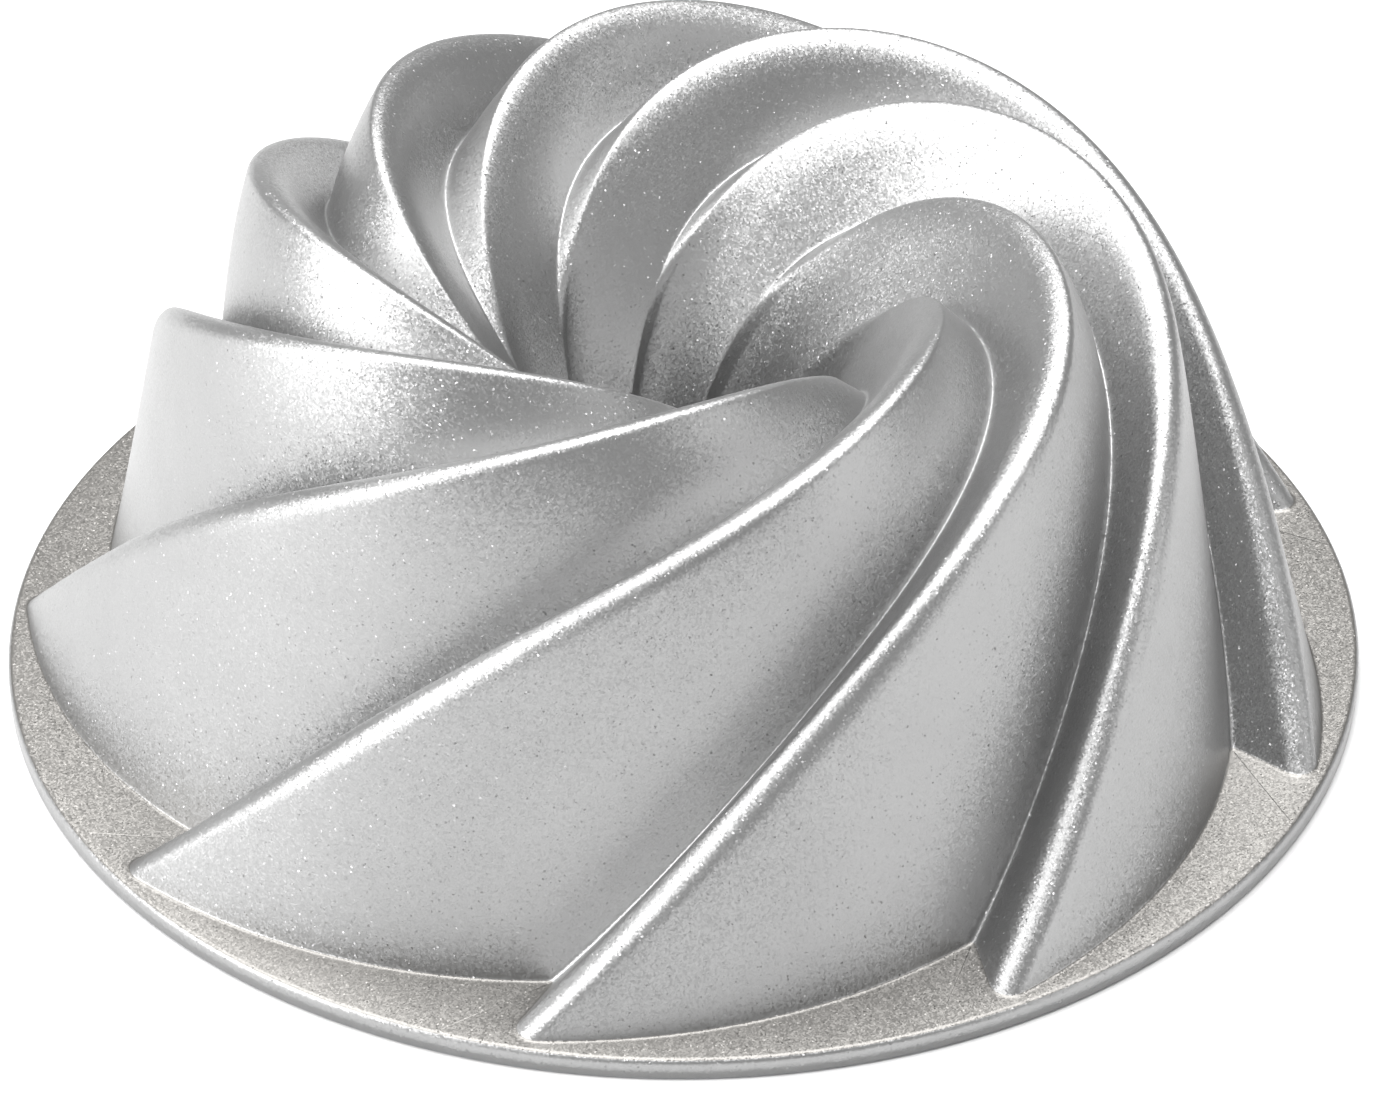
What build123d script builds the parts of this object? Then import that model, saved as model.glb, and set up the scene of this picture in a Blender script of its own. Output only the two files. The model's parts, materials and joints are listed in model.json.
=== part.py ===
from build123d import *

import os
from math import comb, radians

import numpy as np

# Cast bundt pan with a swirl of nine ridges, shown crown up: the rim flange lies on z = 0, the axis is +Z,
# the baking side faces down. Lengths are millimetres and angles degrees.

# ---- driving dimensions ----
RIDGES = 9
FLANGE_RADIUS = 130.0
FLANGE_THICKNESS = 4.4
FLANGE_EDGE_RADIUS = 1.2
WALL = 3.0
RIDGE_SETBACK = 10.0  # from the sharp ridge line back to where its rounding starts, on each face
GROOVE_SETBACK = 5.0  # the same on the baking side, where the ridge is a groove
WIDEST_SETBACK = 0.45  # the rounding takes at most this share of a face
ROUNDNESS = 0.5  # how far the rounding's middle control points reach towards the sharp ridge
FIRST_RIDGE = -104.7  # direction of one ridge's foot on the flange

# The tube ends in a plain round collar, a little thicker than the wall on both sides.
BORE_RADIUS = 16.0
COLLAR_RADIUS = 20.5
COLLAR_TOP = 12.0
TUBE_TIP = 5.0
TUBE_END_RADIUS = 16.5  # of the fluted tube, where it meets the collar

# The coats are drawn thicker than real ones, so that each is a clear solid. The sizes above are over the coat.
LINING = 0.25
COAT = 0.25
COAT_FOOT = 0.6  # the coat stops this far above the flange's underside

# Lines that shape one ridge and the valley behind it, as control points of smooth curves that run from the
# flange up the outer wall, over the crown and down the tube: (radius, height, swirl angle).
RIDGE_LINE = [
    (128.3, FLANGE_THICKNESS, 0),
    (83, 99.4, 37),
    (102, 80, 57.5),
    (88.5, 114, 70.5),
    (40, 127.5, 103.5),
    (38, 80, 152.5),
    (TUBE_END_RADIUS, COLLAR_TOP, 187),
]
VALLEY_LINE = [
    (110.6, FLANGE_THICKNESS, 2.5),
    (92, 46.5, 24.5),
    (84, 88.5, 41),
    (71.5, 98, 76),
    (39.5, 87, 113),
    (17.5, 60.5, 126),
    (TUBE_END_RADIUS, COLLAR_TOP, 166.5),
]
# How far the broad face of a flute stands proud of flat, from the flange to the tube's end.
FACE_BULGE = [(0.3,), (2.8,), (-2,), (0,)]

# Places along the lines, and across a flute's three faces, where the faces are fitted to the shape.
STATIONS = 15
ACROSS_BROAD_FACE = 6
ACROSS_ROUNDING = 5
ACROSS_STEEP_FACE = 5

END_RAMP = 10  # how quickly the trimming of an end fades along the lines
TINY = 1e-4  # step for taking slopes

PITCH = 2 * np.pi / RIDGES


# ---- the shape of one flute ----
def bernstein(degree, t):
    """Weights of the control points of a curve of this degree at t."""
    return np.array([comb(degree, i) * t**i * (1 - t) ** (degree - i) for i in range(degree + 1)])


def on_curve(points, s):
    """Point at s, from 0 to 1, on the curve that has these control points."""
    return bernstein(len(points) - 1, s) @ np.array(points, float)


def on_line(line, s):
    """Place at s on a ridge or valley line, as radius, height and direction in radians."""
    radius, height, angle = on_curve(line, s)
    return np.array([radius, height, radians(angle + FIRST_RIDGE)])


def distance(a, b):
    """Distance between two nearby places."""
    return np.hypot(np.hypot(a[0] - b[0], a[1] - b[1]), (a[0] + b[0]) / 2 * (a[2] - b[2]))


def turned(point, angle):
    """The point turned about the pan's axis."""
    c, s = np.cos(angle), np.sin(angle)
    return np.array([c * point[0] - s * point[1], s * point[0] + c * point[1], point[2]])


def in_space(place):
    """The point at a place."""
    radius, height, angle = place
    return turned(np.array([radius, 0, height]), angle)


def moved(place, step):
    """A place after a step in space."""
    x, y, z = turned(in_space(place) + step, -place[2])
    return np.array([np.hypot(x, y), z, place[2] + np.arctan2(y, x)])


def bulge(s):
    """How far, and which way, the middle of the broad face stands proud."""
    ahead = on_line(RIDGE_LINE, s + TINY) + on_line(VALLEY_LINE, s + TINY)
    behind = on_line(RIDGE_LINE, s - TINY) + on_line(VALLEY_LINE, s - TINY)
    run = ahead[:2] - behind[:2]
    return on_curve(FACE_BULGE, s)[0] * np.array([run[1], -run[0], 0]) / np.hypot(*run)


def across(lines, proud, setback, u):
    """Point on one flute between its ridge and the valley behind: u is 0 to 1 over the broad face, from the
    valley ahead up to the ridge, 1 to 2 over the ridge's rounding and 2 to 3 down the steep face."""
    ridge, near = lines
    far = near + [0, 0, PITCH]
    broad = min(WIDEST_SETBACK, setback / distance(ridge, far))
    steep = min(WIDEST_SETBACK, setback / distance(ridge, near))
    if u <= 1:
        g = u * (1 - broad)
        return in_space(far + (ridge - far) * g + proud * 4 * g * (1 - g))
    end = ridge + steep * (near - ridge)
    if u >= 2:
        return in_space(end + (near - end) * (u - 2))
    start = ridge + broad * (far - ridge) + proud * 4 * broad * (1 - broad)
    corner = ridge + proud * 4 * broad**2
    rounding = [start, start + ROUNDNESS * (corner - start), end + ROUNDNESS * (corner - end), end]
    return in_space(bernstein(3, u - 1) @ np.array(rounding))


def sharp(s, u):
    """Point on the outside as it would be with sharp ridges."""
    return across((on_line(RIDGE_LINE, s), on_line(VALLEY_LINE, s)), bulge(s), 0, u)


def normal(s, first, last):
    """Unit normal that points out of the sharp outside, between two close places across the flute."""
    middle = (first + last) / 2
    n = np.cross(sharp(s + TINY, middle) - sharp(s - TINY, middle), sharp(s, last) - sharp(s, first))
    return n / np.linalg.norm(n)


def inward(depth, one, other):
    """Step from the edge between two faces, given their normals, to where both meet at this depth."""
    total = one + other
    return -depth * 2 * total / (total @ total)


def sunk_lines(depth, s):
    """Ridge, and the valley behind it, of the skin at a depth below the outside."""
    ridge_step = inward(depth, normal(s, 1 - TINY, 1), normal(s, 2, 2 + TINY))
    ahead = turned(normal(s, 0, TINY), -PITCH)
    valley_step = inward(depth, ahead, normal(s, 3 - TINY, 3))
    return moved(on_line(RIDGE_LINE, s), ridge_step), moved(on_line(VALLEY_LINE, s), valley_step)


def surface(depth, setback, s, u):
    """Point on the skin at a depth below the outside."""
    return across(sunk_lines(depth, s), bulge(s), setback, u)


def trimmed(depth, setback, foot, s, u):
    """As surface, with its ends slid along it to the foot's height and to the collar's top."""
    point = surface(depth, setback, s, u)
    for end, height, ramp in ((0, foot, (1 - s) ** END_RAMP), (1, COLLAR_TOP, s**END_RAMP)):
        slope = surface(depth, setback, end + TINY, u) - surface(depth, setback, end - TINY, u)
        point = point + slope * (height - surface(depth, setback, end, u)[2]) / slope[2] * ramp
    return point


# ---- faces ----
def samples(count):
    """Places from 0 to 1, closer together at the ends, where a face is fitted to the shape."""
    return (1 - np.cos(np.linspace(0, np.pi, count))) / 2


def fit_matrix(count):
    """Turns the values at the sample places into a curve's control points."""
    return np.linalg.inv(np.array([bernstein(count - 1, t) for t in samples(count)]))


def flute_faces(depth, setback, foot):
    """The three faces of one flute at a depth below the outside, with exactly shared edges."""
    counts = (ACROSS_BROAD_FACE, ACROSS_ROUNDING, ACROSS_STEEP_FACE)
    places = [start + t for start, count in enumerate(counts) for t in samples(count)]
    grid = {}
    for u in sorted(set(places)):
        grid[u] = np.array([trimmed(depth, setback, foot, s, u) for s in samples(STATIONS)])
    grid[3] = np.array([turned(point, -PITCH) for point in grid[0]])
    along = fit_matrix(STATIONS)
    faces = []
    for start, count in enumerate(counts):
        columns = np.array([grid[start + t] for t in samples(count)])
        controls = np.einsum("ij,kl,jlx->ikx", fit_matrix(count), along, columns)
        faces.append(Face.make_bezier_surface([[tuple(p) for p in row] for row in controls]))
    return faces


def skin(depth, setback, foot):
    """The whole fluted skin at a depth below the outside, from its foot to the collar."""
    flute = flute_faces(depth, setback, foot)
    return [Rot(0, 0, 360 / RIDGES * i) * face for i in range(RIDGES) for face in flute]


def outside(depth):
    """The skin that stands on the flange's top."""
    return skin(depth, RIDGE_SETBACK, FLANGE_THICKNESS - depth)


def baking_side(depth):
    """The skin of the hollow, down to the flange's underside."""
    return skin(depth, GROOVE_SETBACK, 0)


def end_loop(faces, height):
    """The closed edge of a skin that lies at this height."""
    edges = Shell(faces).edges()
    level = [e for e in edges if abs((e @ 0).Z - height) < TINY and abs((e @ 0.5).Z - height) < TINY]
    return Wire(level)


def circle(radius, height):
    """Closed edge round the axis."""
    return Wire(Edge.make_circle(radius, Plane.XY.offset(height)))


def flange_edge(depth, bottom):
    """Faces of the flange's outer edge at a depth below its surface, rounded along the top."""
    radius = FLANGE_RADIUS - depth
    flat = FLANGE_RADIUS - FLANGE_EDGE_RADIUS
    corner = FLANGE_THICKNESS - FLANGE_EDGE_RADIUS
    side = Edge.make_line((radius, 0, bottom), (radius, 0, corner))
    middle = Plane((flat, 0, corner), x_dir=(1, 0, 0), z_dir=(0, -1, 0))
    rounding = Edge.make_circle(radius - flat, middle, 0, 90)
    return Shell.revolve(Wire([side, rounding]), 360, Axis.Z).faces()


def flange_top(depth, wall):
    """Flat face of the flange's top at a depth below its surface, round the wall that stands on it."""
    height = FLANGE_THICKNESS - depth
    return Face(circle(FLANGE_RADIUS - FLANGE_EDGE_RADIUS, height), [end_loop(wall, height)])


def tube_end(outer, inner):
    """Flat face at the collar between two skins of the tube."""
    return Face(end_loop(inner, COLLAR_TOP), [end_loop(outer, COLLAR_TOP)])


def solid_of(faces):
    """Closed solid inside these faces."""
    return Solid(Shell(faces))


# ---- pieces ----
def pan_casting():
    """Walls, crown, tube, collar and flange in one casting."""
    outer = outside(COAT)
    inner = baking_side(COAT + WALL)
    underside = Face(circle(FLANGE_RADIUS - COAT, 0), [end_loop(inner, 0)])
    ends = [flange_top(COAT, outer), underside, tube_end(outer, inner)]
    body = solid_of(outer + inner + flange_edge(COAT, 0) + ends)
    height = COLLAR_TOP - TUBE_TIP
    aligned = (Align.CENTER, Align.CENTER, Align.MIN)
    collar = Cylinder(COLLAR_RADIUS, height, align=aligned) - Cylinder(BORE_RADIUS, height, align=aligned)
    return body + Pos(0, 0, TUBE_TIP) * collar


def interior_nonstick_lining():
    """Thin lining on the whole baking side, from the rim's opening to the collar."""
    outer = baking_side(COAT + WALL)
    inner = baking_side(COAT + WALL + LINING)
    rim = Face(end_loop(outer, 0), [end_loop(inner, 0)])
    return solid_of(outer + inner + [rim, tube_end(outer, inner)])


def exterior_finish_coat():
    """Thin coat on the fluted outside and on the flange's top and side, open at the flange's foot."""
    outer = outside(0)
    inner = outside(COAT)
    foot = Face(circle(FLANGE_RADIUS, COAT_FOOT), [circle(FLANGE_RADIUS - COAT, COAT_FOOT)])
    flat = [flange_top(0, outer), flange_top(COAT, inner), foot, tube_end(outer, inner)]
    return solid_of(outer + inner + flange_edge(0, COAT_FOOT) + flange_edge(COAT, COAT_FOOT) + flat)


def main():
    """Builds every piece and writes one file for each."""
    os.makedirs("parts", exist_ok=True)
    for piece in (pan_casting, interior_nonstick_lining, exterior_finish_coat):
        export_step(piece(), f"parts/{piece.__name__}.step")


if __name__ == "__main__":
    main()
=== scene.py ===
"""Looks of a cast ring cake pan with a swirl of ridges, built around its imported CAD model.

The pan stands crown up on its flange. One formula gives the fluted skin, and the coat, the casting and the
lining are the same skin at different depths. Lengths inside the shape classes are millimetres and angles
are radians; meshes are in metres.
"""

import json
import logging
import math
from collections.abc import Callable
from dataclasses import dataclass
from enum import Enum

import bpy
import numpy as np
from mathutils import Matrix, Vector


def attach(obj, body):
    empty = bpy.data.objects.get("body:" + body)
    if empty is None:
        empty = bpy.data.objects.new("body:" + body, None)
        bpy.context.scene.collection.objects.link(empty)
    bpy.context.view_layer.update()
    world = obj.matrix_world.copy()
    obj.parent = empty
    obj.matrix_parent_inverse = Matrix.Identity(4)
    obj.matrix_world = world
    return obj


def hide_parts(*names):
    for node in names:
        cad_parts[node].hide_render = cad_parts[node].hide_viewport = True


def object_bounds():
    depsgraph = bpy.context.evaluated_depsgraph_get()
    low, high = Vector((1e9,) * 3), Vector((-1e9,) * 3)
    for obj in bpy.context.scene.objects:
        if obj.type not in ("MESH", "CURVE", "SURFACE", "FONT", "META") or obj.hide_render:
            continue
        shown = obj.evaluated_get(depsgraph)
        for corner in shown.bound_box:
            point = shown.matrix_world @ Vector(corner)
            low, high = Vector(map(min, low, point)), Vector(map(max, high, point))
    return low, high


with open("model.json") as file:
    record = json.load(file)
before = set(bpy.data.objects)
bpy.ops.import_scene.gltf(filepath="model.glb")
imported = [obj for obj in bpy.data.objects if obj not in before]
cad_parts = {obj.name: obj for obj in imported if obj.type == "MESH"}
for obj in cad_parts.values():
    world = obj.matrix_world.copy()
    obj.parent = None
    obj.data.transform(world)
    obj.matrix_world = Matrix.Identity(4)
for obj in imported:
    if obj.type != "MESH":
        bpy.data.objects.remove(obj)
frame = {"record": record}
cad_low, cad_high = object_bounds()

log = logging.getLogger("bundt_pan")

MM = 0.001
TINY = 1e-4


# ---------------------------------------------------------------- small helpers
def linear(hex_colour: str) -> tuple[float, float, float, float]:
    """Turns an sRGB hex colour into linear values.

    Args:
        hex_colour: six hex digits, with or without a leading #.

    Returns:
        Red, green, blue and an alpha of 1.
    """
    digits = hex_colour.lstrip("#")
    values = [int(digits[i : i + 2], 16) / 255 for i in (0, 2, 4)]
    red, green, blue = (v / 12.92 if v <= 0.04045 else ((v + 0.055) / 1.055) ** 2.4 for v in values)
    return (red, green, blue, 1.0)


def add_node(
    tree: bpy.types.NodeTree, kind: str, settings: dict | None = None, links: dict | None = None
) -> bpy.types.Node:
    """Adds one node to a tree.

    Args:
        tree: the tree that takes the node.
        kind: the node's type name.
        settings: property or input names, with their values.
        links: input names or numbers, with the output sockets that feed them.

    Returns:
        The new node.
    """
    node = tree.nodes.new(kind)
    for name, value in (settings or {}).items():
        if isinstance(name, str) and hasattr(node, name):
            setattr(node, name, value)
        else:
            node.inputs[name].default_value = value
    for name, socket in (links or {}).items():
        tree.links.new(socket, node.inputs[name])
    return node


def bezier(points: np.ndarray, s: np.ndarray) -> np.ndarray:
    """Places on a smooth curve.

    Args:
        points: the curve's control points, one row each.
        s: places along the curve, from 0 to 1.

    Returns:
        One row for each place.
    """
    degree = len(points) - 1
    weights = [math.comb(degree, i) * s**i * (1 - s) ** (degree - i) for i in range(degree + 1)]
    return np.tensordot(np.array(weights), points, axes=(0, 0))


def turned(points: np.ndarray, angle: float) -> np.ndarray:
    """Points turned about the pan's axis by an angle in radians."""
    c, s = math.cos(angle), math.sin(angle)
    return points @ np.array([[c, s, 0], [-s, c, 0], [0, 0, 1]])


def unit(vectors: np.ndarray) -> np.ndarray:
    """Vectors scaled to length 1."""
    return vectors / np.linalg.norm(vectors, axis=-1, keepdims=True)


# ---------------------------------------------------------------- the fluted skin
def along(points: np.ndarray, angle: float) -> np.ndarray:
    """Places on a line of the pan, turned to a ridge's direction."""
    return points * (1, 1, math.pi / 180) + (0, 0, math.radians(angle))


def in_space(places: np.ndarray) -> np.ndarray:
    """Points at places given as radius, height and direction."""
    radius, height, angle = places.T
    return np.stack([radius * np.cos(angle), radius * np.sin(angle), height], axis=-1)


def moved(places: np.ndarray, step: np.ndarray) -> np.ndarray:
    """Places after a step in space.

    Args:
        places: radius, height and direction, one row each.
        step: the step of each.

    Returns:
        The new places, with directions close to the old ones.
    """
    x, y, z = (in_space(places) + step).T
    turn = np.arctan2(y, x) - places[:, 2]
    return np.stack([np.hypot(x, y), z, places[:, 2] + (turn + math.pi) % (2 * math.pi) - math.pi], axis=-1)


def width(a: np.ndarray, b: np.ndarray) -> np.ndarray:
    """Distance between places, as a column."""
    across = (a[:, 0] + b[:, 0]) / 2 * (a[:, 2] - b[:, 2])
    return np.sqrt((a[:, 0] - b[:, 0]) ** 2 + (a[:, 1] - b[:, 1]) ** 2 + across**2)[:, None]


@dataclass(frozen=True)
class Layer:
    """One skin of the fluted wall: how deep it lies and how its edges are softened, in millimetres."""

    depth: float
    ridge_setback: float
    foot_taper: float
    valley_setback: float
    foot: float


@dataclass(frozen=True)
class Swirl:
    """The formula of the fluted skin.

    A ridge line and a valley line run from the flange up the wall, over the crown and down the tube. Each
    flute has a broad face, a rounded ridge and a steep face, with a small fillet in the valley. Across a
    flute, u is 0 to 1 over the broad face from the valley ahead up to the ridge, 1 to 2 over the ridge's
    rounding and 2 to 3 down the steep face to the valley behind.
    """

    ridges: int = 9
    flange_top: float = 4.4
    collar_top: float = 12.0
    tube_end_radius: float = 16.5
    widest_setback: float = 0.45
    widest_fillet: float = 0.4
    roundness: float = 0.5
    first_ridge: float = -104.7
    face_bulge: tuple[float, ...] = (0.3, 2.8, -2.0, 0.0)
    end_ramp: int = 10
    taper_ramp: int = 12
    steep_columns: int = 9
    round_columns: int = 13
    broad_columns: int = 19
    valley_columns: int = 4
    line_samples: int = 2001

    @property
    def pitch(self) -> float:
        """Angle from one ridge to the next."""
        return 2 * math.pi / self.ridges

    def ridge_line(self, s: np.ndarray) -> np.ndarray:
        """Places along the sharp ridge.

        Args:
            s: places along the line, from 0 at the flange to 1 at the tube's end.

        Returns:
            Radius, height and direction, one row each.
        """
        points = [
            (128.3, self.flange_top, 0),
            (83, 99.4, 37),
            (102, 80, 57.5),
            (88.5, 114, 70.5),
            (40, 127.5, 103.5),
            (38, 80, 152.5),
            (self.tube_end_radius, self.collar_top, 187),
        ]
        return bezier(along(np.array(points), self.first_ridge), s)

    def valley_line(self, s: np.ndarray) -> np.ndarray:
        """Places along the valley behind the ridge.

        Args:
            s: places along the line, from 0 at the flange to 1 at the tube's end.

        Returns:
            Radius, height and direction, one row each.
        """
        points = [
            (110.6, self.flange_top, 2.5),
            (92, 46.5, 24.5),
            (84, 88.5, 41),
            (71.5, 98, 76),
            (39.5, 87, 113),
            (17.5, 60.5, 126),
            (self.tube_end_radius, self.collar_top, 166.5),
        ]
        return bezier(along(np.array(points), self.first_ridge), s)

    def bulge(self, s: np.ndarray) -> np.ndarray:
        """How far, and which way, the middle of the broad face stands proud.

        Args:
            s: places along the lines.

        Returns:
            A step in radius, height and direction for each place.
        """
        amount = bezier(np.array(self.face_bulge)[:, None], s)
        ahead = self.ridge_line(s + TINY) + self.valley_line(s + TINY)
        behind = self.ridge_line(s - TINY) + self.valley_line(s - TINY)
        run = unit((ahead - behind)[:, :2])
        return amount * np.stack([run[:, 1], -run[:, 0], np.zeros(len(s))], axis=-1)

    def across(
        self,
        ridge: np.ndarray,
        near: np.ndarray,
        proud: np.ndarray,
        setback: float | np.ndarray,
        u: np.ndarray,
    ) -> np.ndarray:
        """Points on one flute.

        Args:
            ridge: places of the sharp ridge.
            near: places of the valley behind it.
            proud: how far, and which way, the middle of the broad face stands proud.
            setback: distance from the sharp ridge to the start of its rounding.
            u: places across the flute, one for each row.

        Returns:
            One point for each row.
        """
        far = near + (0, 0, self.pitch)
        broad = np.minimum(self.widest_setback, setback / width(ridge, far))
        steep = np.minimum(self.widest_setback, setback / width(ridge, near))
        u = u[:, None]
        g = np.clip(u, 0, 1) * (1 - broad)
        on_broad = far + (ridge - far) * g + proud * 4 * g * (1 - g)
        begin = ridge + broad * (far - ridge) + proud * 4 * broad * (1 - broad)
        corner = ridge + proud * 4 * broad**2
        end = ridge + steep * (near - ridge)
        k = self.roundness
        rounding = np.stack([begin, begin + k * (corner - begin), end + k * (corner - end), end])
        t = np.clip(u - 1, 0, 1)
        weights = np.stack([math.comb(3, i) * t**i * (1 - t) ** (3 - i) for i in range(4)])
        on_round = (weights * rounding).sum(axis=0)
        on_steep = end + (near - end) * np.clip(u - 2, 0, 1)
        return in_space(np.where(u <= 1, on_broad, np.where(u < 2, on_round, on_steep)))

    def normal(self, s: np.ndarray, first: float, last: float) -> np.ndarray:
        """Unit normals out of the outside with sharp ridges.

        Args:
            s: places along the lines.
            first: place across the flute.
            last: a place close after it, on the same face.

        Returns:
            One normal for each place.
        """

        def sharp(at: np.ndarray, u: float) -> np.ndarray:
            """Points on the outside as it would be with sharp ridges."""
            lines = self.ridge_line(at), self.valley_line(at)
            return self.across(*lines, self.bulge(at), 0.0, np.full(len(at), u))

        middle = (first + last) / 2
        up = sharp(s + TINY, middle) - sharp(s - TINY, middle)
        return unit(np.cross(up, sharp(s, last) - sharp(s, first)))

    def sunk_lines(self, depth: float, s: np.ndarray) -> tuple[np.ndarray, np.ndarray]:
        """Ridge, and the valley behind it, of the skin at a depth below the outside.

        Args:
            depth: distance below the outside.
            s: places along the lines.

        Returns:
            Places of the ridge and of the valley.
        """

        def inward(one: np.ndarray, other: np.ndarray) -> np.ndarray:
            """Steps to where two faces with these normals meet at the depth."""
            total = one + other
            return -depth * 2 * total / (total**2).sum(axis=1, keepdims=True)

        at_ridge = inward(self.normal(s, 1 - TINY, 1), self.normal(s, 2, 2 + TINY))
        ahead = turned(self.normal(s, 0, TINY), -self.pitch)
        at_valley = inward(ahead, self.normal(s, 3 - TINY, 3))
        return moved(self.ridge_line(s), at_ridge), moved(self.valley_line(s), at_valley)

    def trimmed(
        self, path: Callable[[np.ndarray], np.ndarray], foot: float, s: np.ndarray
    ) -> np.ndarray:
        """A path along the skin with its ends slid to the foot's height and to the collar's top.

        Args:
            path: gives points for places along the lines.
            foot: height of the end at the flange.
            s: places along the lines.

        Returns:
            One point for each place.
        """
        points = path(s)
        ramps = (1 - s) ** self.end_ramp, s**self.end_ramp
        for end, height, ramp in ((0.0, foot, ramps[0]), (1.0, self.collar_top, ramps[1])):
            behind, at_end, ahead = path(np.array([end - TINY, end, end + TINY]))
            slope = ahead - behind
            points = points + np.outer(ramp, slope * (height - at_end[2]) / slope[2])
        return points

    def stations(self, rows: int) -> np.ndarray:
        """Places along the lines, evenly spaced along the ridge.

        Args:
            rows: how many places.

        Returns:
            Places from 0 to 1.
        """
        s = np.linspace(0, 1, self.line_samples)
        steps = np.linalg.norm(np.diff(in_space(self.ridge_line(s)), axis=0), axis=1)
        run = np.concatenate([[0], np.cumsum(steps)])
        return np.interp(np.linspace(0, run[-1], rows), run, s)

    def loops(self, layer: Layer, rows: int) -> list[np.ndarray]:
        """Closed loops of points round the pan, from the flange to the tube's end.

        Args:
            layer: the skin to make.
            rows: number of loops.

        Returns:
            The loops, which all have the same number of points.
        """
        s = self.stations(rows)

        def column(place: Callable[[np.ndarray, np.ndarray, np.ndarray], np.ndarray]) -> np.ndarray:
            """Points along the skin at one place across the flute.

            Args:
                place: gives u from places along the lines and the fillet's share of each face.

            Returns:
                One point for each of the loops.
            """

            def path(at: np.ndarray) -> np.ndarray:
                """The column's points before trimming.

                Args:
                    at: places along the lines.

                Returns:
                    One point for each place.
                """
                ridge, near = self.sunk_lines(layer.depth, at)
                far = near + (0, 0, self.pitch)
                broad = np.minimum(self.widest_fillet, layer.valley_setback / width(ridge, far)[:, 0])
                steep = np.minimum(self.widest_fillet, layer.valley_setback / width(ridge, near)[:, 0])
                u = place(at, broad, steep)
                setback = layer.ridge_setback * (1 - layer.foot_taper * (1 - at) ** self.taper_ramp)
                return self.across(ridge, near, self.bulge(at), setback[:, None], u)

            return self.trimmed(path, layer.foot, s)

        columns = []
        for t in np.linspace(1, 0, self.steep_columns, endpoint=False):
            columns.append(column(lambda at, broad, steep, t=t: 2 + t * (1 - steep)))
        for t in np.linspace(2, 1, self.round_columns, endpoint=False):
            columns.append(column(lambda at, broad, steep, t=t: np.full(len(at), t)))
        for t in np.linspace(1, 0, self.broad_columns + 1):
            columns.append(column(lambda at, broad, steep, t=t: broad + t * (1 - broad)))
        crease = column(lambda at, broad, steep: np.zeros(len(at)))
        before, after = columns[-1], turned(columns[0], self.pitch)
        for t in np.linspace(0, 1, self.valley_columns + 2)[1:-1]:
            columns.append((1 - t) ** 2 * before + 2 * t * (1 - t) * crease + t**2 * after)
        flute = np.stack(columns, axis=1)
        whole = np.concatenate([turned(flute, self.pitch * i) for i in range(self.ridges)], axis=1)
        return list(whole)


# ---------------------------------------------------------------- loops and meshes
def ring(like: np.ndarray, radius: float, height: float) -> np.ndarray:
    """A circle round the axis, with its points spread as those of another loop.

    Args:
        like: the loop that it follows, in line with it at the loop's widest point.
        radius: the circle's radius.
        height: the circle's height.

    Returns:
        The circle's points.
    """
    steps = np.linalg.norm(np.roll(like, -1, axis=0) - like, axis=1)
    share = np.concatenate([[0], np.cumsum(steps)[:-1]]) / steps.sum()
    widest = np.hypot(like[:, 0], like[:, 1]).argmax()
    angles = 2 * math.pi * (share - share[widest]) + math.atan2(like[widest][1], like[widest][0])
    return in_space(np.stack([np.full(len(like), radius), np.full(len(like), height), angles], axis=-1))


def profile(like: np.ndarray, outline: list[tuple[float, float]]) -> list[np.ndarray]:
    """Circles through an outline of radii and heights."""
    return [ring(like, radius, height) for radius, height in outline]


def arc(
    middle: tuple[float, float], radius: float, start: float, end: float, steps: int
) -> list[tuple[float, float]]:
    """Outline points on an arc.

    Args:
        middle: radius and height of its centre.
        radius: the arc's own radius.
        start: its first direction in degrees, 0 outwards and 90 up.
        end: its last direction.
        steps: number of steps.

    Returns:
        Radii and heights.
    """
    angles = np.radians(np.linspace(start, end, steps + 1))
    return [(middle[0] + radius * math.cos(a), middle[1] + radius * math.sin(a)) for a in angles]


def with_foot_fillet(loops: list[np.ndarray], setback: float, steps: int) -> list[np.ndarray]:
    """Softens the inside corner where a wall stands on the flange.

    Args:
        loops: the wall's loops, from the foot up.
        setback: distance from the corner to each end of the fillet.
        steps: number of steps round the fillet.

    Returns:
        Loops from the flange up round the fillet, and then the wall's own.
    """
    foot = loops[0]
    run = np.roll(foot, -1, axis=0) - np.roll(foot, 1, axis=0)
    out = unit(np.stack([run[:, 1], -run[:, 0], np.zeros(len(foot))], axis=-1))
    up = unit(loops[1] - foot)
    corners = np.stack([foot + out * setback, foot, foot + up * setback])
    return list(bezier(corners, np.linspace(0, 1, steps + 1))) + loops[1:]


def skin_mesh(name: str, loops: list[np.ndarray]) -> bpy.types.Object:
    """Makes a closed mesh from loops, each joined to the next and the last to the first.

    Args:
        name: the piece's name.
        loops: loops of points in millimetres.

    Returns:
        The new object.
    """
    rows, columns = len(loops), len(loops[0])
    points = np.concatenate(loops) * MM
    row, column = np.meshgrid(np.arange(rows), np.arange(columns), indexing="ij")
    next_row, next_column = (row + 1) % rows, (column + 1) % columns
    corners = [(row, column), (row, next_column), (next_row, next_column), (next_row, column)]
    faces = np.stack([r * columns + c for r, c in corners], axis=-1).reshape(-1, 4)
    mesh = bpy.data.meshes.new(name)
    mesh.from_pydata(points.tolist(), [], faces.tolist())
    mesh.polygons.foreach_set("use_smooth", np.ones(len(faces), dtype=bool))
    mesh.update()
    piece = bpy.data.objects.new(name, mesh)
    bpy.context.scene.collection.objects.link(piece)
    return piece


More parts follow.
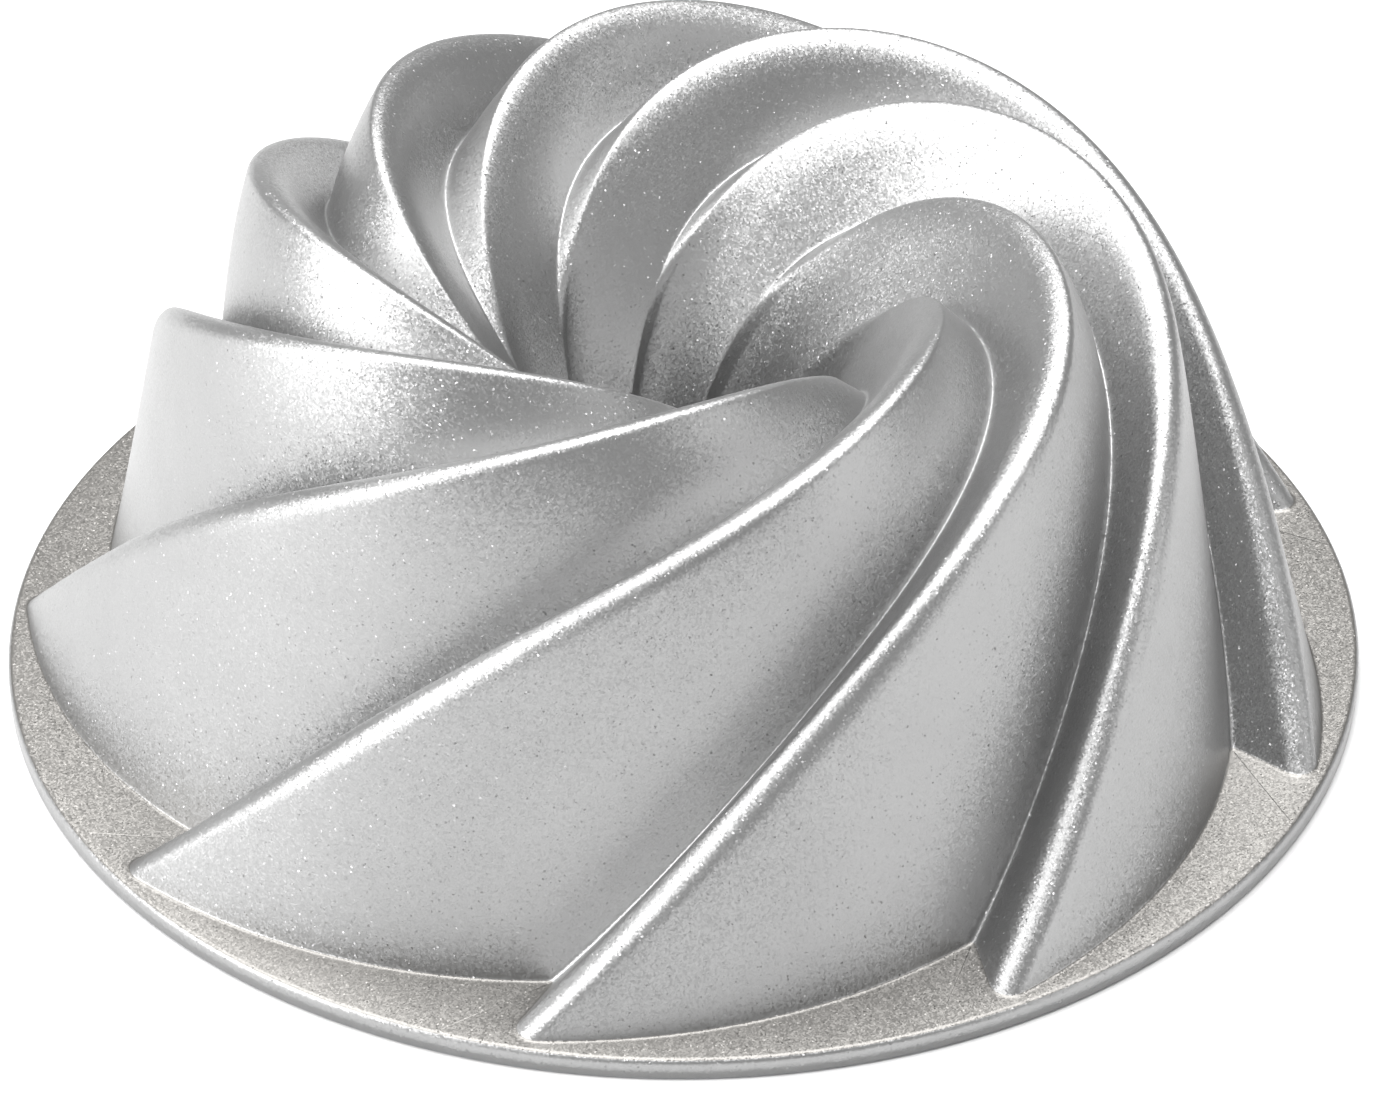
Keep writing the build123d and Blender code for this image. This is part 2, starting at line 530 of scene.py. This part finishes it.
# ---------------------------------------------------------------- finishes
def blank_material(name: str) -> tuple[bpy.types.Material, bpy.types.NodeTree, bpy.types.NodeSocket]:
    """Makes an empty material.

    Args:
        name: the material's name.

    Returns:
        The material, its tree and the position that its patterns follow.
    """
    material = bpy.data.materials.new(name)
    material.use_nodes = True
    tree = material.node_tree
    tree.nodes.clear()
    return material, tree, add_node(tree, "ShaderNodeTexCoord").outputs["Object"]


class Finish(Enum):
    """The pan's finishes, by the record's slot names."""

    COAT = "silver_coat"
    LINING = "nonstick_lining"
    CASTING = "cast_aluminium"


@dataclass(frozen=True)
class SilverFlakeCoat:
    """Sprayed silver bakeware coat: a satin binder full of aluminium flake, baked on the outside."""

    silver: str = "#A9A9A9"
    shade: str = "#A0A0A0"
    # Painted shade and reflection: a darker, warmer colour for the flange's flat, which mirrors the shaded
    # wall.
    flange_shade_colour: str = "#8D8B88"
    roughness: float = 0.43
    flake_mm: float = 0.32
    flake_tilt: float = 0.20
    glint_share: float = 0.05
    glint_tilt: float = 0.45
    mottle_mm: float = 14.0
    flange_height_mm: float = 4.4
    flange_span_mm: float = 0.25

    def flake_normal(self, tree: bpy.types.NodeTree, place: bpy.types.NodeSocket) -> bpy.types.NodeSocket:
        """Tilts the surface a little at each flake, and far at a few that catch or lose the light.

        Args:
            tree: the material's tree.
            place: the position that the pattern follows.

        Returns:
            The tilted normal.
        """
        # Real flakes are about 0.05 mm; they are drawn coarser, so that the glitter shows.
        flakes = add_node(
            tree, "ShaderNodeTexVoronoi", {"Scale": 1 / (self.flake_mm * MM)}, {"Vector": place}
        )
        chance = add_node(tree, "ShaderNodeTexWhiteNoise", {}, {"Vector": flakes.outputs["Position"]})
        glint = add_node(
            tree,
            "ShaderNodeMath",
            {"operation": "LESS_THAN", 1: self.glint_share},
            {0: chance.outputs["Value"]},
        )
        tilt = add_node(
            tree,
            "ShaderNodeMath",
            {"operation": "MULTIPLY_ADD", 1: self.glint_tilt, 2: self.flake_tilt},
            {0: glint.outputs["Value"]},
        )
        lean = add_node(
            tree,
            "ShaderNodeVectorMath",
            {"operation": "SUBTRACT", 1: (0.5, 0.5, 0.5)},
            {0: flakes.outputs["Color"]},
        )
        scaled = add_node(
            tree,
            "ShaderNodeVectorMath",
            {"operation": "SCALE"},
            {0: lean.outputs["Vector"], "Scale": tilt.outputs["Value"]},
        )
        surface = add_node(tree, "ShaderNodeNewGeometry").outputs["Normal"]
        leaning = add_node(
            tree, "ShaderNodeVectorMath", {"operation": "ADD"}, {0: surface, 1: scaled.outputs["Vector"]}
        )
        normal = add_node(
            tree, "ShaderNodeVectorMath", {"operation": "NORMALIZE"}, {0: leaning.outputs["Vector"]}
        )
        return normal.outputs["Vector"]

    def tone(self, tree: bpy.types.NodeTree, place: bpy.types.NodeSocket) -> bpy.types.NodeSocket:
        """Colour of the coat, with painted shade and reflection drawn on the flange's flat as a darker,
        warmer tone.

        Args:
            tree: the material's tree.
            place: the position that the pattern follows.

        Returns:
            The colour.
        """
        # A sprayed film varies a little in thickness, which gives slow changes of tone.
        mottle = add_node(
            tree,
            "ShaderNodeTexNoise",
            {"Scale": 1 / (self.mottle_mm * MM), "Detail": 3.0},
            {"Vector": place},
        )
        wall = add_node(
            tree,
            "ShaderNodeMix",
            {"data_type": "RGBA", 6: linear(self.silver), 7: linear(self.shade)},
            {0: mottle.outputs["Fac"]},
        )
        # Painted shade: the flange's flat gets the darker, warmer colour, standing for the shaded wall that
        # it reflects.
        split = add_node(tree, "ShaderNodeSeparateXYZ", {}, {"Vector": place})
        flange_shade_mask = add_node(
            tree,
            "ShaderNodeMath",
            {"operation": "COMPARE", 1: self.flange_height_mm * MM, 2: self.flange_span_mm * MM},
            {0: split.outputs["Z"]},
        )
        colour = add_node(
            tree,
            "ShaderNodeMix",
            {"data_type": "RGBA", 7: linear(self.flange_shade_colour)},
            {0: flange_shade_mask.outputs["Value"], 6: wall.outputs[2]},
        )
        return colour.outputs[2]

    def material(self) -> bpy.types.Material:
        """Makes the finish's material.

        Returns:
            The material.
        """
        # Flake in a satin film gives a bright, slightly grainy silver with soft highlights.
        material, tree, place = blank_material("silver_flake_coat")
        shader = add_node(
            tree,
            "ShaderNodeBsdfPrincipled",
            {"Metallic": 1.0, "Roughness": self.roughness},
            {"Base Color": self.tone(tree, place), "Normal": self.flake_normal(tree, place)},
        )
        add_node(tree, "ShaderNodeOutputMaterial", {}, {"Surface": shader.outputs["BSDF"]})
        return material


@dataclass(frozen=True)
class NonstickLining:
    """Baked non-stick lining: dark grey, satin, with a faint orange-peel skin."""

    colour: str = "#3B3B3D"
    speck: str = "#57575A"
    roughness: float = 0.42
    ior: float = 1.38
    speck_mm: float = 1.2
    peel_mm: float = 1.5
    peel_height_mm: float = 0.02

    def material(self) -> bpy.types.Material:
        """Makes the finish's material.

        Returns:
            The material.
        """
        # The cured film is even and nearly black, with a low sheen.
        material, tree, place = blank_material("satin_nonstick")
        # Pigment is finer than this; the specks are drawn as coarse as they need to be to show.
        specks = add_node(
            tree, "ShaderNodeTexNoise", {"Scale": 1 / (self.speck_mm * MM), "Detail": 4.0}, {"Vector": place}
        )
        tone = add_node(
            tree,
            "ShaderNodeMix",
            {"data_type": "RGBA", 6: linear(self.colour), 7: linear(self.speck)},
            {0: specks.outputs["Fac"]},
        )
        # Orange peel is the slight waviness that a sprayed film keeps when it dries.
        peel = add_node(tree, "ShaderNodeTexNoise", {"Scale": 1 / (self.peel_mm * MM)}, {"Vector": place})
        bump = add_node(
            tree,
            "ShaderNodeBump",
            {"Distance": self.peel_height_mm * MM, "Strength": 1.0},
            {"Height": peel.outputs["Fac"]},
        )
        shader = add_node(
            tree,
            "ShaderNodeBsdfPrincipled",
            {"Roughness": self.roughness, "IOR": self.ior},
            {"Base Color": tone.outputs[2], "Normal": bump.outputs["Normal"]},
        )
        add_node(tree, "ShaderNodeOutputMaterial", {}, {"Surface": shader.outputs["BSDF"]})
        return material


@dataclass(frozen=True)
class CastAluminium:
    """Bare die-cast aluminium: dull grey metal with a fine grain."""

    colour: str = "#B9BABC"
    roughness: float = 0.48
    grain_mm: float = 0.6
    grain_height_mm: float = 0.015

    def material(self) -> bpy.types.Material:
        """Makes the finish's material.

        Returns:
            The material.
        """
        # Bare metal straight from the die is pale, dull and evenly grey.
        material, tree, place = blank_material("die_cast_aluminium")
        # The skin of a casting copies the die's fine texture, drawn coarser here so that it shows.
        grain = add_node(
            tree, "ShaderNodeTexNoise", {"Scale": 1 / (self.grain_mm * MM), "Detail": 3.0}, {"Vector": place}
        )
        bump = add_node(
            tree,
            "ShaderNodeBump",
            {"Distance": self.grain_height_mm * MM, "Strength": 1.0},
            {"Height": grain.outputs["Fac"]},
        )
        shader = add_node(
            tree,
            "ShaderNodeBsdfPrincipled",
            {"Metallic": 1.0, "Roughness": self.roughness, "Base Color": linear(self.colour)},
            {"Normal": bump.outputs["Normal"]},
        )
        add_node(tree, "ShaderNodeOutputMaterial", {}, {"Surface": shader.outputs["BSDF"]})
        return material


def dress(piece: bpy.types.Object, material: bpy.types.Material, node: str) -> None:
    """Gives a piece its material, hangs it on the root body and hides the CAD node that it replaces.

    Args:
        piece: the mesh object.
        material: its material.
        node: the CAD node whose place it takes.
    """
    piece.data.materials.append(material)
    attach(piece, "root")
    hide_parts(node)


# ---------------------------------------------------------------- the pan's pieces
@dataclass(frozen=True)
class Build:
    """Sizes that the pan's pieces share, in millimetres."""

    flange_radius: float
    collar_bore: float
    flange_top: float = 4.4
    flange_edge: float = 1.2
    wall: float = 3.0
    coat: float = 0.25
    coat_foot: float = 0.6
    lining: float = 0.25
    ridge_setback: float = 10.0
    foot_taper: float = 0.4
    groove_setback: float = 5.0
    valley_fillet: float = 2.1
    inner_valley_fillet: float = 3.5
    collar_radius: float = 20.5
    collar_top: float = 12.0
    tube_tip: float = 5.0
    edge_steps: int = 6

    def outside(self, depth: float) -> Layer:
        """The skin that stands on the flange's top."""
        return Layer(depth, self.ridge_setback, self.foot_taper, self.valley_fillet, self.flange_top - depth)

    def baking_side(self, depth: float) -> Layer:
        """The skin of the hollow, down to the flange's underside."""
        return Layer(depth, self.groove_setback, 0.0, self.inner_valley_fillet, 0.0)

    def flange_outline(self, depth: float, bottom: float) -> list[tuple[float, float]]:
        """The flange's side and rounded top edge, from the bottom up.

        Args:
            depth: distance below the flange's surface.
            bottom: height at which the side starts.

        Returns:
            Radii and heights.
        """
        flat = self.flange_radius - self.flange_edge
        corner = self.flange_top - self.flange_edge
        side = (self.flange_radius - depth, bottom)
        return [side] + arc((flat, corner), self.flange_edge - depth, 0, 90, self.edge_steps)


@dataclass(frozen=True)
class ExteriorCoat:
    """The silver coat on the fluted outside and on the flange."""

    swirl: Swirl
    build: Build
    rows: int = 140
    hidden_rows: int = 70
    foot_fillet: float = 0.7
    fillet_steps: int = 5

    def piece(self) -> bpy.types.Object:
        """Builds and dresses the coat.

        Returns:
            The piece.
        """
        build = self.build
        outer = self.swirl.loops(build.outside(0.0), self.rows)
        outer = with_foot_fillet(outer, self.foot_fillet, self.fillet_steps)
        inner = self.swirl.loops(build.outside(build.coat), self.hidden_rows)
        under = profile(inner[0], build.flange_outline(build.coat, build.coat_foot))[::-1]
        over = profile(outer[0], build.flange_outline(0.0, build.coat_foot))
        coat = skin_mesh("silver_coat_skin", outer + inner[::-1] + under + over)
        dress(coat, SilverFlakeCoat().material(), "exterior_finish_coat")
        return coat


@dataclass(frozen=True)
class CastBody:
    """The aluminium casting, bare on its underside, at the foot of its rim and on its collar."""

    swirl: Swirl
    build: Build
    rows: int = 75
    chamfer: float = 0.4

    def piece(self) -> bpy.types.Object:
        """Builds and dresses the casting.

        Returns:
            The piece.
        """
        build = self.build
        outer = self.swirl.loops(build.outside(build.coat), self.rows)
        inner = self.swirl.loops(build.baking_side(build.coat + build.wall), self.rows)
        bore, collar, cut = build.collar_bore, build.collar_radius, self.chamfer
        collar_outline = [
            (bore, build.collar_top),
            (bore, build.tube_tip + cut),
            (bore + cut, build.tube_tip),
            (collar - cut, build.tube_tip),
            (collar, build.tube_tip + cut),
            (collar, build.collar_top),
        ]
        flange = build.flange_outline(build.coat, cut / 2)
        foot = [(flange[0][0] - cut / 2, 0.0)]
        tip = profile(outer[-1], collar_outline)
        rim = profile(inner[0], foot) + profile(outer[0], flange)
        body = skin_mesh("cast_body", outer + tip + inner[::-1] + rim)
        dress(body, CastAluminium().material(), "pan_casting")
        return body


@dataclass(frozen=True)
class InteriorLining:
    """The non-stick lining on the baking side."""

    swirl: Swirl
    build: Build
    rows: int = 100
    hidden_rows: int = 50

    def piece(self) -> bpy.types.Object:
        """Builds and dresses the lining.

        Returns:
            The piece.
        """
        depth = self.build.coat + self.build.wall
        outer = self.swirl.loops(self.build.baking_side(depth), self.hidden_rows)
        inner = self.swirl.loops(self.build.baking_side(depth + self.build.lining), self.rows)
        lining = skin_mesh("nonstick_skin", outer + inner[::-1])
        dress(lining, NonstickLining().material(), "interior_nonstick_lining")
        return lining


# ---------------------------------------------------------------- the studio
@dataclass(frozen=True)
class Softbox:
    """A square soft light, with its place and side in metres and its power in watts."""

    name: str
    place: tuple[float, float, float]
    side: float
    power: float


@dataclass(frozen=True)
class Studio:
    """Camera, floor and soft lights, in metres and degrees."""

    distance: float = 1.1112
    elevation: float = 36.846
    yaw: float = 0.046
    pitch: float = 0.860
    roll: float = 0.326
    lens_mm: float = 150.157
    sensor_mm: float = 36.0
    sight: float = 50.0
    floor_half: float = 6.0
    floor_colour: str = "#DDDDDD"
    floor_roughness: float = 0.9
    room_light: float = 0.36
    softboxes: tuple[Softbox, ...] = (
        Softbox("overhead_softbox", (-0.1, 0.3, 1.75), 2.2, 80.0),
        Softbox("left_softbox", (-1.7, -0.6, 0.85), 1.5, 43.0),
        Softbox("right_reflector", (1.6, -0.6, 0.5), 1.0, 5.5),
    )

    def camera(self) -> None:
        """Stands the camera to look down at the pan."""
        data = bpy.data.cameras.new("view")
        data.sensor_width = self.sensor_mm
        data.lens = self.lens_mm
        data.clip_end = self.sight
        camera = bpy.data.objects.new("view", data)
        bpy.context.scene.collection.objects.link(camera)
        height = math.radians(self.elevation)
        place = Vector((0, -math.cos(height), math.sin(height))) * self.distance
        up = Vector((0, 0, 1))
        ahead = -place.normalized()
        right = ahead.cross(up).normalized()
        ahead += right * math.tan(math.radians(self.yaw))
        ahead += right.cross(ahead).normalized() * math.tan(math.radians(self.pitch))
        ahead.normalize()
        right = ahead.cross(up).normalized()
        level = Matrix((right, right.cross(ahead), -ahead)).transposed().to_4x4()
        tilt = Matrix.Rotation(-math.radians(self.roll), 4, "Z")
        camera.matrix_world = Matrix.Translation(place) @ level @ tilt
        bpy.context.scene.camera = camera

    def floor(self) -> None:
        """Lays a plain pale floor under the pan."""
        half = self.floor_half
        corners = [(-half, -half, 0), (half, -half, 0), (half, half, 0), (-half, half, 0)]
        mesh = bpy.data.meshes.new("floor")
        mesh.from_pydata(corners, [], [(0, 1, 2, 3)])
        floor = bpy.data.objects.new("floor", mesh)
        bpy.context.scene.collection.objects.link(floor)
        material = bpy.data.materials.new("white_paper")
        material.use_nodes = True
        shader = material.node_tree.nodes["Principled BSDF"]
        shader.inputs["Base Color"].default_value = linear(self.floor_colour)
        shader.inputs["Roughness"].default_value = self.floor_roughness
        mesh.materials.append(material)

    def light(self, box: Softbox) -> None:
        """Hangs a softbox so that it faces the pan.

        Args:
            box: the light to hang.
        """
        data = bpy.data.lights.new(box.name, "AREA")
        data.size = box.side
        data.energy = box.power
        lamp = bpy.data.objects.new(box.name, data)
        lamp.location = box.place
        lamp.rotation_euler = (-Vector(box.place)).to_track_quat("-Z", "Y").to_euler()
        bpy.context.scene.collection.objects.link(lamp)

    def world(self) -> None:
        """Fills the room with even light."""
        world = bpy.data.worlds.new("room")
        world.use_nodes = True
        background = world.node_tree.nodes["Background"]
        background.inputs["Color"].default_value = (1.0, 1.0, 1.0, 1.0)
        background.inputs["Strength"].default_value = self.room_light
        bpy.context.scene.world = world

    def build(self) -> None:
        """Sets up the whole studio, camera first."""
        self.camera()
        self.floor()
        for box in self.softboxes:
            self.light(box)
        self.world()
        bpy.context.scene.view_settings.view_transform = "Standard"


def main() -> None:
    """Builds the studio and then the pan's pieces."""
    logging.basicConfig(level=logging.INFO, format="%(name)s: %(message)s")
    Studio().build()
    bore = next(mount for mount in frame["record"]["mounts"] if mount["name"] == "tube_bore")
    build = Build(flange_radius=cad_high[0] / MM, collar_bore=bore["dims"]["r_mm"])
    swirl = Swirl(flange_top=build.flange_top, collar_top=build.collar_top)
    for part in (CastBody(swirl, build), InteriorLining(swirl, build), ExteriorCoat(swirl, build)):
        piece = part.piece()
        log.info("%s: %d faces", piece.name, len(piece.data.polygons))


if __name__ == "__main__":
    main()
